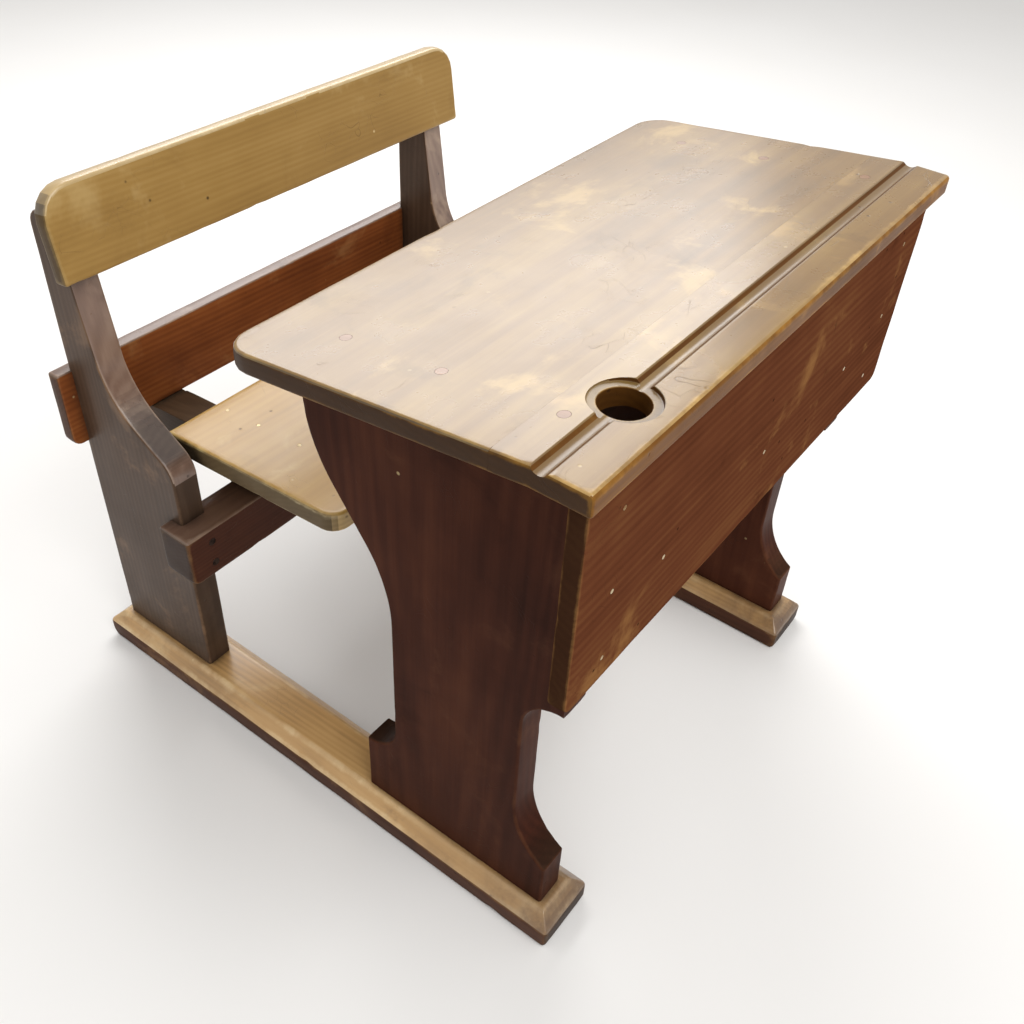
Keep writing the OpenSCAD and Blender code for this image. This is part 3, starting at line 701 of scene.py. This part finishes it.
def standard(side, name):
    """A bench standard: upright below, rounded nose, hollow shoulder, leaning back above."""
    front, back, top = std_low.y, std_high.y, std_high.z
    nose_mid = Vector((front + NOSE_R, NOSE_Z))
    s, t = math.radians(SHOULDER_DEG), math.radians(LEAN)
    nose_end = nose_mid + NOSE_R * Vector((-math.cos(s), math.sin(s)))
    shoulder = nose_end + SHOULDER_LEN * Vector((math.sin(s), math.cos(s)))
    hollow_mid = shoulder + HOLLOW_R * Vector((-math.cos(s), math.sin(s)))
    hollow_end = hollow_mid + HOLLOW_R * Vector((math.cos(t), -math.sin(t)))
    o = Outline()
    o.add((front, foot_z), 1.0, 0.0)
    o.add((back, foot_z), 1.0, 1.0)
    o.add((back, top), 18.0)
    o.add((hollow_end.x + (top - hollow_end.y) * math.tan(t), top), 1.0, 0.6)
    o.add(arc(hollow_mid, HOLLOW_R, -LEAN, -SHOULDER_DEG, 10))
    o.add(arc(nose_mid, NOSE_R, 180 - SHOULDER_DEG, 180, 9))
    thickness = std_high.x - std_low.x
    x0 = std_low.x if side > 0 else -std_high.x
    piece = plank(f"seat_standard_{name}_wood", o, thickness, lambda u, v, h: (x0 + h, u, v),
                  2, 21 + side, edges=(3, 3), erosion=0.4)
    carve(piece, [bore(STD_MID * side, back, z, SCREW_HOLE, SCREW_SINK, (0, 1, 0))
                  for z in (543, 564)])
    # Up-facing faces of the front edge take a pale copy: rubbed varnish and a painted highlight on the nose
    # and hollow
    add(piece, f"seat_standard_{name}", FRAME, shoulder_rubbed_lit_wood, standard_wood[name],
        lambda normal, centre: abs(normal.x) < 0.7 and normal.z > 0.05)


def polished_and_lit(normal, centre):
    """The pen rail's shiny faces: its top, and the very bottom of the groove. They take the lighter copy of
    the wood, a painted sheen, and the groove walls and sides the darker one, painted shade.
    """
    in_groove = centre.z < (slope_z(centre.y / MM) - 1.2) * MM
    return normal.z > (0.85 if in_groove else 0.3)


def pen_rail():
    """The flat front board of the top: pen groove right across, inkwell hole at the right."""
    front, glue = rail_low.y, rail_high.y
    half = rail_high.x
    o = Outline()
    o.add((front, strip_low), 3.0)
    o.add((SLOPE_START + 0.6, strip_low), 0.0)
    o.add((glue, slope_z(glue) - slope_drop), 0.2, 0.0)
    o.add((glue, slope_z(glue)), 0.1, 1.0)
    o.add((SLOPE_START, top_z), 0.0)
    o.add((front, top_z), 4.5)
    piece = plank("pen_rail_wood", o, 2 * half, lambda u, v, h: (h - half, u, v), 0, 5,
                  edges=(3.5, 3.5), erosion=0.35)

    # Pen groove with rubbed lips, open at both ends
    mid_z = top_z + GROOVE_LIFT
    reach = math.degrees(math.acos((GROOVE_LIFT + 0.9) / GROOVE_R))
    section = [(u, v) for u, v in arc((GROOVE_Y, mid_z), GROOVE_R, 270 - reach, 270 + reach, 14)]
    lip_u = section[-1][0] - GROOVE_Y
    lips = [(lip_u + 0.5, -0.42), (lip_u + 1.1, -0.12), (lip_u + 1.9, 0.05), (lip_u + 2.2, 5.0)]
    section = ([(GROOVE_Y - u, top_z + v) for u, v in lips[::-1]] + section
               + [(GROOVE_Y + u, top_z + v) for u, v in lips])
    carve(piece, [(prism, section, lambda u, v, h: (h, u, v), -half - 5, half + 5)], recess_darkening=0.3)
    lip, floor = 1.1, top_z - RIM_DEPTH
    profile = [(0, strip_low - 6, 0), (WELL_R, strip_low - 6, 0), (WELL_R, floor - lip, 0.4)]
    for k in range(1, 4):
        a = math.radians(30 * k)
        profile.append((WELL_R + lip * (1 - math.cos(a)), floor - lip + lip * math.sin(a), 1.0))
    profile += [(RIM_R - 1.5, floor, 0.0), (RIM_R - 0.4, floor + 0.5, 0.0), (RIM_R, floor + 1.4, 0.2)]
    profile += [(RIM_R, top_z - 0.9, 0.8), (RIM_R + 0.3, top_z - 0.3, 1.0)]
    profile += [(RIM_R + 0.9, top_z + 0.02, 0.8), (RIM_R + 0.9, top_z + 6, 0.8), (0, top_z + 6, 0)]
    holes = [(turned, profile, lambda a, b, h: (WELL_X + a, GROOVE_Y + b, h), 96)]
    up = (0, SLOPE, 1)
    for x in (-END_MID, END_MID):
        holes.append(bore(x, TOP_PLUGS[0], slope_z(TOP_PLUGS[0]), PLUG_R + 0.25, 5, up))
    carve(piece, holes)
    add(piece, "pen_rail", FRAME, rail_wood, top_edge, polished_and_lit)


def writing_slope():
    """The sloping board, with two large round corners at the sitter's edge."""
    half, glue, back = slope_high.x, slope_low.y, slope_high.y
    o = Outline()
    o.add([(-half, glue)], 0.15, 0.0).add([(half, glue)], 0.15)
    o.add([(half, back), (-half, back)], 30.0)

    def place(u, v, h):
        return (u, v, slope_z(v) - slope_drop + h * slope_drop / BOARD_T)

    piece = plank("writing_slope_wood", o, BOARD_T, place, 0, 6, edges=(3.5, 3.5), erosion=0.35)
    up = (0, SLOPE, 1)
    carve(piece, [bore(x, y, slope_z(y), PLUG_R + 0.25, 5, up)
                  for x in (-END_MID, END_MID) for y in TOP_PLUGS[1:]])
    add(piece, "writing_slope", FRAME, top_wood, top_edge)


def front_panel():
    """The modesty panel, lower corners rounded."""
    o = Outline()
    o.add([(panel_low.x, panel_low.z), (panel_high.x, panel_low.z)], 10.0)
    o.add((panel_high.x, panel_high.z), 1.0, 0.0)
    o.add((panel_low.x, panel_high.z), 1.0, 1.0)
    thickness = panel_high.y - panel_low.y
    piece = plank("front_panel_wood", o, thickness, lambda u, v, h: (u, panel_low.y + h, v), 0, 7,
                  edges=(2.5, 2.5), erosion=0.7)
    nails = [(x, z) for x in (-END_MID, END_MID) for z in (416, 491, 574)]
    nails += [(x, (shelf_low.z + shelf_high.z) / 2) for x in (-180, 0, 180)]
    carve(piece, [bore(x, panel_low.y, z, NAIL_HOLE, NAIL_SINK, (0, -1, 0)) for x, z in nails])
    add(piece, "front_panel", FRAME, panel_wood)


def book_shelf():
    """The shelf under the top."""
    o = Outline().add([(shelf_low.x, shelf_low.y), (shelf_high.x, shelf_low.y)], 0.5, 0.0)
    o.open[1] = 0.0
    o.add((shelf_high.x, shelf_high.y), 0.5, 1.0)
    o.add((shelf_low.x, shelf_high.y), 0.5, 0.0)
    thickness = shelf_high.z - shelf_low.z
    piece = plank("book_shelf_wood", o, thickness, lambda u, v, h: (u, v, shelf_low.z + h), 0, 8,
                  edges=(2, 2))
    add(piece, "book_shelf", FRAME, shelf_wood)


def backrest():
    """The leaning backrest board, upper corners well rounded."""
    lean = math.radians(LEAN)
    depth = (back_high.z - back_low.z - REST_T * math.sin(lean)) / math.cos(lean)
    half = back_high.x
    # The lower front corner is the board's foremost point, and its lower back corner the lowest
    foot_y = back_low.y + REST_T * math.cos(lean)

    def place(u, v, h):
        # h runs from the back face to the front face
        y = foot_y + v * math.sin(lean) - h * math.cos(lean)
        z = back_low.z + v * math.cos(lean) + h * math.sin(lean)
        return (u, y, z)

    o = Outline()
    o.add([(-half, 0), (half, 0)], 4.0)
    o.add([(half, depth), (-half, depth)], 32.0)
    piece = plank("backrest_wood", o, REST_T, place, 0, 9, edges=(3.5, 4), erosion=0.6)
    # The top edge takes the lighter copy of the backrest's wood: a painted sheen
    add(piece, "backrest_board", FRAME, rest_lit_top, backrest_wood)


def rails():
    """The lower back rail and the seat rail."""
    for node, low, high, corner, soft, seed, wood in (
            ("back_rail", lower_low, lower_high, 12.0, 2.5, 31, lower_wood),
            ("seat_rail", beam_low, beam_high, 10.0, 3.5, 33, beam_wood)):
        o = Outline()
        o.add([(low.x, low.z), (high.x, low.z)], corner)
        o.add([(high.x, high.z), (low.x, high.z)], 3.0)
        piece = plank(f"{node}_wood", o, high.y - low.y, lambda u, v, h, y=low.y: (u, y + h, v), 0,
                      seed, edges=(soft, soft), erosion=0.8)
        if node == "seat_rail":
            carve(piece, [hinge_cut(x) for x in (-BEARER_MID, BEARER_MID)]
                  + [bore(x, low.y, z, SCREW_HOLE, SCREW_SINK, (0, -1, 0))
                     for x in (-STD_MID, STD_MID) for z in (219, 249)])
        else:
            carve(piece, [bore(x, high.y, z, SCREW_HOLE, SCREW_SINK, (0, 1, 0))
                          for x in (-STD_MID, STD_MID) for z in (337, 380)])
        # The rail's top faces take the lighter, greyer copy: a painted sheen
        add(piece, node, FRAME, rail_lit_top, wood)


def hinge_cut(x):
    """The round relief along a hinge pin."""
    profile = [(0, -PIN_HALF, 0), (PIN_RELIEF, -PIN_HALF, 0), (PIN_RELIEF, PIN_HALF, 0), (0, PIN_HALF, 0)]
    return (turned, profile, lambda a, b, h: (x + h, PIN_Y + a, PIN_Z + b), 32)


def seat():
    """The seat board, front corners rounded, and the two bearers under it."""
    half = seat_high.x
    drop = seat_high.z - seat_low.z - (seat_high.y - seat_low.y) * SEAT_FALL
    o = Outline()
    o.add([(-half, seat_low.y), (half, seat_low.y)], 20.0)
    o.add([(half, seat_high.y), (-half, seat_high.y)], 3.0)
    piece = plank("seat_wood", o, drop, lambda u, v, h: (u, v, seat_z(v) - drop + h), 0, 10,
                  edges=(3, 4.5), erosion=0.5)
    carve(piece, [bore(x, y, seat_z(y), NAIL_HOLE, SEAT_NAIL_SINK, (0, SEAT_FALL, 1))
                  for x in (-BEARER_MID, BEARER_MID) for y in (50, 103, 165.6, 215)])
    # The top and the edges take two copies of the seat's wood, each toned for the light that falls on it
    add(piece, "seat_board", SEAT, seat_wood, seat_edge)

    def bearer(side, name):
        front, back = bearer_low.y, bearer_high.y
        flat, land = beam_high.z + 0.3, lower_low.z - 0.3

        def under(y):
            return seat_z(y) - drop

        o = Outline()
        o.add((front, under(front) - 34), 5.0)
        o.add((beam_low.y - 12, flat), 0.0)
        o.add((beam_high.y + 34, flat), 0.0)
        o.add((back, under(back) - 30), 5.0)
        o.add((back, land), 0.8)
        o.add((back - BEARER_LAND, land), 0.3, 1.0)
        o.add((back - BEARER_LAND, under(back - BEARER_LAND)), 0.3, 0.4)
        o.add((front, under(front)), 1.0, 1.0)
        x0 = bearer_low.x if side > 0 else -bearer_high.x
        piece = plank(f"seat_bearer_{name}_wood", o, bearer_high.x - bearer_low.x,
                      lambda u, v, h: (x0 + h, u, v), 1, 41 + side, edges=(2, 2))
        carve(piece, [hinge_cut(BEARER_MID * side)])
        add(piece, f"seat_bearer_{name}", SEAT, bearer_wood[name])

    both(bearer)


# ---------------------------------------------------------------- finishes

# The top's up-facing faces take a lighter copy of its wood, a painted sheen, and its sides and groove walls
# the darker top_edge copy, painted shade
top_tones = ("57401e", "83622f", "a58543")
top_wood = timber("top_wood", "X", top_tones, "cdaa62", 1.3, ring=7, gloss=0.29, stain=0.35, patches=0.4,
                  shine=0.45, coat=0.5, rub=0.5, specks=0.2)
rail_wood = timber("pen_rail_wood", "X", top_tones, "d6ad64", 2.9, ring=7, gloss=0.28, stain=0.4,
                   shine=0.5, coat=0.55, rub=0.8)
top_edge = timber("top_edge_wood", "X", ("46290f", "6a4216", "87591d"), "c08c3c", 2.2, ring=7, gloss=0.42,
                  shine=0.1, rub=0.6)
panel_wood = timber("panel_wood", "X", ("351a10", "613824", "7e5634"), "a87c4a", 4.1, ring=9, gloss=0.42,
                    shine=0.0, rub=0.5, stain=0.6, figure=0.45, patches=0.35, specks=0.8)
shelf_wood = timber("shelf_wood", "X", ("3d2618", "5a3a26", "745036"), "8a6844", 5.2, gloss=0.5, shine=0.15)
backrest_wood = timber("backrest_wood", "X", ("7c5c30", "9f7d45", "b8975e"), "d6bc86", 6.3, ring=6,
                       gloss=0.40, stain=0.3, shine=0.15, rub=0.5, figure=0.4, specks=0.8)
# The seat's top and its edges take two copies of one wood, the edges paler and greyer: the light on each
# painted into its tone
seat_wood = timber("seat_wood", "X", ("8c682a", "b58a3e", "cca658"), "e2c888", 7.4, ring=6, gloss=0.32,
                   stain=0.2, specks=0.6, shine=0.5, coat=0.35, rub=0.8, figure=0.4)
seat_edge = timber("seat_edge_wood", "X", ("8d7450", "c0a474", "d8be90"), "efdcb0", 7.9, ring=6, gloss=0.42,
                   shine=0.15, rub=0.6)
lower_wood = timber("back_rail_wood", "X", ("5c2e17", "854a25", "a06436"), "b98a58", 8.5, gloss=0.42,
                    shine=0.12, rub=0.5, figure=0.8)
beam_wood = timber("seat_rail_wood", "X", ("2c160e", "4a281a", "643d28"), "95704a", 9.6, gloss=0.42,
                   shine=0.1, rub=0.6)
# The runner tops' wood is toned far lighter than the sides' wood below it: a painted sheen from the light
# above
runner_lit_top = {n: timber(f"runner_{n}_wood", "Y", ("5e4430", "c29860", "deb880"), "e6ca9a", s, gloss=0.32,
                         stain=0.45, shine=0.5, coat=0.6, darker_span=(-0.36, -0.12))
               for n, s in (("left", 10.7), ("right", 11.8))}
runner_edge = {n: timber(f"runner_{n}_edge_wood", "Y", ("2e1a12", "4c2d1d", "68432b"), "a57c50", s,
                         gloss=0.45, stain=0.5, shine=0.1, rub=0.5)
               for n, s in (("left", 10.1), ("right", 11.1))}
end_wood = {n: timber(f"end_{n}_wood", "Z", ("25110b", "402116", "573120"), "7a5238", s, ring=8,
                      gloss=0.42, patches=0.15, stain=0.4, shine=0.03, rub=0.4, figure=0.6)
            for n, s in (("left", 12.9), ("right", 13.1))}
# The standards' pale copy for the up-facing front edge, and their light rubbed edges, are partly worn
# varnish and partly a painted highlight on the nose and hollow
standard_wood = {n: timber(f"standard_{n}_wood", "Z", ("2f231a", "4b392c", "675243"), "a5805f", s, ring=7,
                           gloss=0.36, patches=0.25, shine=0.12, rub=0.8, figure=0.45)
                 for n, s in (("left", 14.2), ("right", 15.3))}
shoulder_rubbed_lit_wood = timber("shoulder_rubbed_lit_wood", "Z", ("4a352b", "7d6354", "a58d7a"), "c0a68c", 19.1, ring=7,
                       gloss=0.3, patches=0.4, shine=0.5, coat=0.6, rub=0.8, figure=0.5)
# The tops of the backrest and the rails take lighter, greyer copies of their woods: a painted sheen from
# the light above
rest_lit_top = timber("backrest_lit_top_wood", "X", ("8f7345", "b99c68", "d6bd8c"), "e6d2a8", 20.2, ring=6,
                  gloss=0.3, shine=0.5, coat=0.5, rub=0.6, figure=0.4)
rail_lit_top = timber("rail_lit_top_wood", "X", ("4a3328", "6f5444", "8f7662"), "ae947c", 21.3, ring=6,
                  gloss=0.34, shine=0.4, coat=0.4, rub=0.6, figure=0.5)
bearer_wood = {n: timber(f"bearer_{n}_wood", "Y", ("35251a", "54402e", "6e5540"), "8f7350", s, gloss=0.55,
                         shine=0.15) for n, s in (("left", 16.4), ("right", 17.5))}
plug_wood = timber("plug_wood", "Y", ("6a4529", "8c613b", "a0754a"), "b98e58", 18.6, ring=3, gloss=0.3,
                   shine=0.5, coat=0.5)
iron = metal("hinge_iron", "4a4642", "3a2418", 1.0, 0.5, 0.6)
steel = metal("screw_steel", "7d766c", "4a3222", 2.0, 0.4, 0.6)
dark_steel = metal("varnished_steel", "3c2a20", "24160f", 2.6, 0.5, 0.6)
nail = metal("nail_steel", "c9b78f", "8d6a3c", 3.0, 0.35, 0.5)

both(runner)
both(desk_end)
both(standard)
pen_rail()
writing_slope()
front_panel()
book_shelf()
backrest()
rails()
seat()

for node, material in (
        ("top_plugs", plug_wood), ("top_screws", steel),
        ("backrest_screws", dark_steel), ("back_rail_screws", dark_steel), ("seat_rail_screws", dark_steel),
        ("runner_screws", steel), ("hinge_rail_screws", steel), ("hinge_seat_screws", steel),
        ("panel_nails", nail), ("shelf_nails", nail), ("seat_nails", nail),
        ("hinge_rail_leaves", iron), ("hinge_seat_leaves", iron), ("hinge_pins", steel)):
    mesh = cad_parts[node].data
    mesh.materials.clear()
    mesh.materials.append(material)

# ---------------------------------------------------------------- studio


def studio():
    """A pale floor, a broad soft light behind the desk, and softer light in front."""
    g = Graph("floor")
    here = g.node("TexCoord").outputs["Object"]
    tint = g.mix(g.noise(here, 1.5, 3.0), linear("f2f1ef"), linear("eceae7"))
    rough = g.math("MULTIPLY_ADD", g.noise(here, 30.0), 0.1, 0.7)
    pale = g.surface(tint, rough, g.noise(here, 120.0), 0.05, 0.0003)
    bm = bmesh.new()
    bmesh.ops.create_grid(bm, x_segments=8, y_segments=8, size=9.0)
    floor = new_object("floor", bm)
    floor.data.materials.append(pale)

    middle = Vector((0, 0, 0.45))
    for name, azimuth, elevation, distance, width, height, power in LIGHTS:
        light = bpy.data.lights.new(name, "AREA")
        light.shape = "RECTANGLE"
        light.size, light.size_y, light.energy = width, height, power
        lamp = bpy.data.objects.new(name, light)
        bpy.context.scene.collection.objects.link(lamp)
        a, e = math.radians(azimuth), math.radians(elevation)
        lamp.location = middle + distance * Vector((
            math.sin(a) * math.cos(e), -math.cos(a) * math.cos(e), math.sin(e)))
        lamp.rotation_euler = (middle - lamp.location).to_track_quat("-Z", "Y").to_euler()

    world = bpy.data.worlds.new("studio")
    bpy.context.scene.world = world
    world.use_nodes = True
    world.node_tree.nodes["Background"].inputs[0].default_value = (1.0, 0.99, 0.98, 1.0)
    world.node_tree.nodes["Background"].inputs[1].default_value = WORLD
    bpy.context.scene.view_settings.view_transform = "Standard"


# name, azimuth from the front (-Y) towards +X, elevation, distance, width, height, power
LIGHTS = (
    ("sheen", 135.0, 40.0, 2.4, 2.0, 1.6, 42.0),
    ("key", -15.0, 50.0, 2.8, 1.8, 1.8, 42.0),
)
WORLD = 0.68


def camera():
    lens = bpy.data.cameras.new("camera")
    lens.sensor_width, lens.lens = 36.0, 37.6
    lens.shift_x, lens.shift_y = -0.0081, -0.0088
    eye = bpy.data.objects.new("camera", lens)
    bpy.context.scene.collection.objects.link(eye)
    eye.location = (-0.77035, -0.59038, 1.05865)
    eye.rotation_euler = Euler([math.radians(a) for a in (49.104, -3.047, -53.407)], "XYZ")
    bpy.context.scene.camera = eye


studio()
camera()
